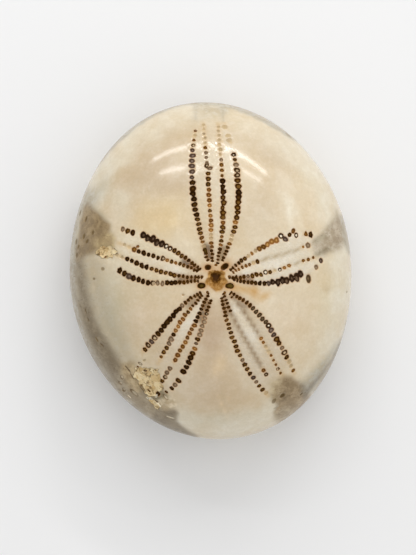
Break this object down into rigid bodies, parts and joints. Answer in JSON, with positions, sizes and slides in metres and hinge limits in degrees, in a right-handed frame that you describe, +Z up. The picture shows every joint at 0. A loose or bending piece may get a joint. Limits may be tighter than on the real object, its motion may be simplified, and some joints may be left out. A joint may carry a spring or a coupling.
{
  "type": "fossil sand dollar",
  "caption": "Polished fossil sand dollar: a smooth oval dome with petals of dark pores round a star-shaped centre, flat underneath, for display or study.",
  "frame": {"origin": "under the middle of the fossil, on the surface that its flat underside rests on", "axes": "+Y towards the front of the animal, along its longest petal and its length, +X to the right seen from above, +Z up through the dome"},
  "size_m": [0.0334, 0.04, 0.0166],
  "materials": {
    "fossil_calcite": "polished"
  },
  "bodies": {
    "root": {"sand_dollar": "fossil_calcite"}
  },
  "joints": []
}
